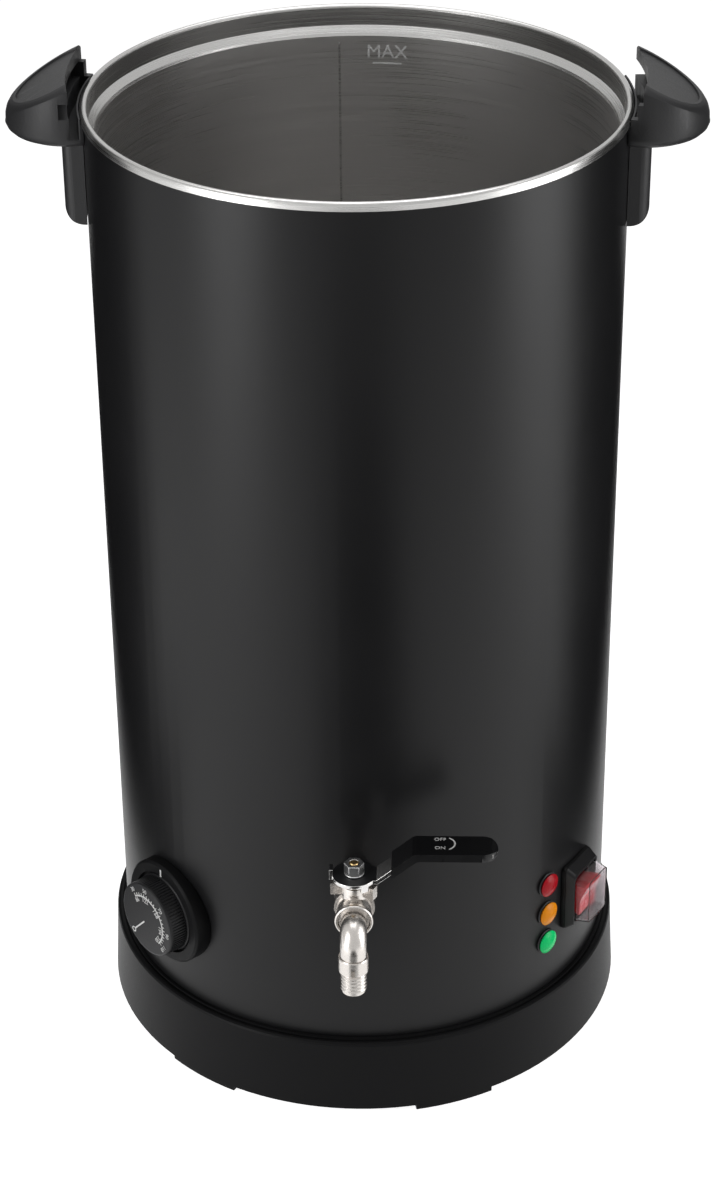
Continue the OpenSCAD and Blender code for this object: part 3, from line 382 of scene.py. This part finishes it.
floor = quad("floor", [(-6, -6, FLOOR_Z), (6, -6, FLOOR_Z), (6, 9, FLOOR_Z), (-6, 9, FLOOR_Z)])
fm = bpy.data.materials.new("floor_white")
fm.use_nodes = True
nt = fm.node_tree
nt.nodes.clear()
out = nt.nodes.new("ShaderNodeOutputMaterial")
dif = nt.nodes.new("ShaderNodeBsdfDiffuse")
dif.inputs["Color"].default_value = FLOOR_COLOR
emi = nt.nodes.new("ShaderNodeEmission")
adds = nt.nodes.new("ShaderNodeAddShader")
fac = math_node(nt, "MULTIPLY")
fac.inputs[1].default_value = FLOOR_GLOW
link(nt, seen(nt), fac.inputs[0])
link(nt, fac.outputs[0], emi.inputs["Strength"])
link(nt, dif.outputs[0], adds.inputs[0])
link(nt, emi.outputs[0], adds.inputs[1])
link(nt, adds.outputs[0], out.inputs["Surface"])
floor.data.materials.append(fm)


def flag(name, corners):
    """Black card: no camera ray or shadow ray meets it, all other rays do."""
    o = quad(name, corners)
    o.data.materials.append(M["card_black"])
    o.visible_camera = False
    o.visible_shadow = False


CARD_Z = 0.001  # of the cards that lie on the floor
CARD_TOP = 0.62
for side in (-1, 1):
    x = 0.29 * side
    flag("side_flag", [(x, -0.03, 0), (x * 1.6, 0.8, 0), (x * 1.6, 0.8, CARD_TOP), (x, -0.03, CARD_TOP)])
    x = 0.2 * side
    flag("floor_flag", [(x, -0.08, CARD_Z), (x * 1.7, 0.9, CARD_Z), (x * 3, 0.9, CARD_Z),
                        (x * 2, -0.08, CARD_Z)])
flag("front_flag", [(-0.09, -0.32, CARD_Z), (0.12, -0.32, CARD_Z), (0.3, -1.1, CARD_Z),
                    (-0.2, -1.1, CARD_Z)])

# ---- world and lights ----
WORLD_LIGHT = 0.22
WORLD_SEEN = 1.0
world = bpy.data.worlds.new("studio")
scene.world = world
world.use_nodes = True
nt = world.node_tree
lit = nt.nodes["Background"]
lit.inputs["Strength"].default_value = WORLD_LIGHT
white = nt.nodes.new("ShaderNodeBackground")
white.inputs["Strength"].default_value = WORLD_SEEN
mx = nt.nodes.new("ShaderNodeMixShader")
link(nt, seen(nt), mx.inputs["Fac"])
link(nt, lit.outputs[0], mx.inputs[1])
link(nt, white.outputs[0], mx.inputs[2])
link(nt, mx.outputs[0], nt.nodes["World Output"].inputs["Surface"])


def area(name, loc, target, size, power, size_y=None):
    d = bpy.data.lights.new(name, "AREA")
    d.energy = power
    d.shape = "RECTANGLE"
    d.size = size
    d.size_y = size_y or size
    o = bpy.data.objects.new(name, d)
    scene.collection.objects.link(o)
    o.location = loc
    o.rotation_euler = (Vector(target) - Vector(loc)).to_track_quat("-Z", "Y").to_euler()


SIDE_POWER, TOP_POWER = 6.0, 11
for name, az, wide in (("left", -48, 0.4), ("right", 76, 0.5)):
    a = math.radians(az)
    area(name, (math.sin(a), -math.cos(a), 0.42), (0, 0, 0.25), wide, SIDE_POWER, 0.8)
area("top", (0, 0.25, 1.75), (0, 0, 0.4), 1.2, TOP_POWER)

# ---- camera, fitted to the photograph ----
PHOTO_HEIGHT = 1200
FOCAL_PIXELS = 2975.17
SENSOR = 36.0
UNIT = 0.130  # metres to one unit of the fit
EYE = Vector((0.0060, -10.1175, 7.6630))
LIFT = Vector((0, 0, 0.006))
turn = math.radians(1.7)
yaw, pitch, roll = -0.0024, 0.5318, -0.0100

fwd = Vector((math.sin(yaw) * math.cos(pitch), math.cos(yaw) * math.cos(pitch), -math.sin(pitch)))
right = Vector((math.cos(yaw), -math.sin(yaw), 0))
up = right.cross(fwd)
rolled_right = math.cos(roll) * right + math.sin(roll) * up
rolled_up = -math.sin(roll) * right + math.cos(roll) * up
cam = bpy.data.objects.new("camera", bpy.data.cameras.new("camera"))
scene.collection.objects.link(cam)
cam.data.sensor_width = SENSOR
cam.data.lens = FOCAL_PIXELS / PHOTO_HEIGHT * SENSOR
cam.data.clip_end = 50
rot = Matrix((rolled_right, rolled_up, -fwd)).transposed().to_4x4()
cam.matrix_world = Matrix.Rotation(turn, 4, "Z") @ T(EYE * UNIT + LIFT) @ rot
scene.camera = cam
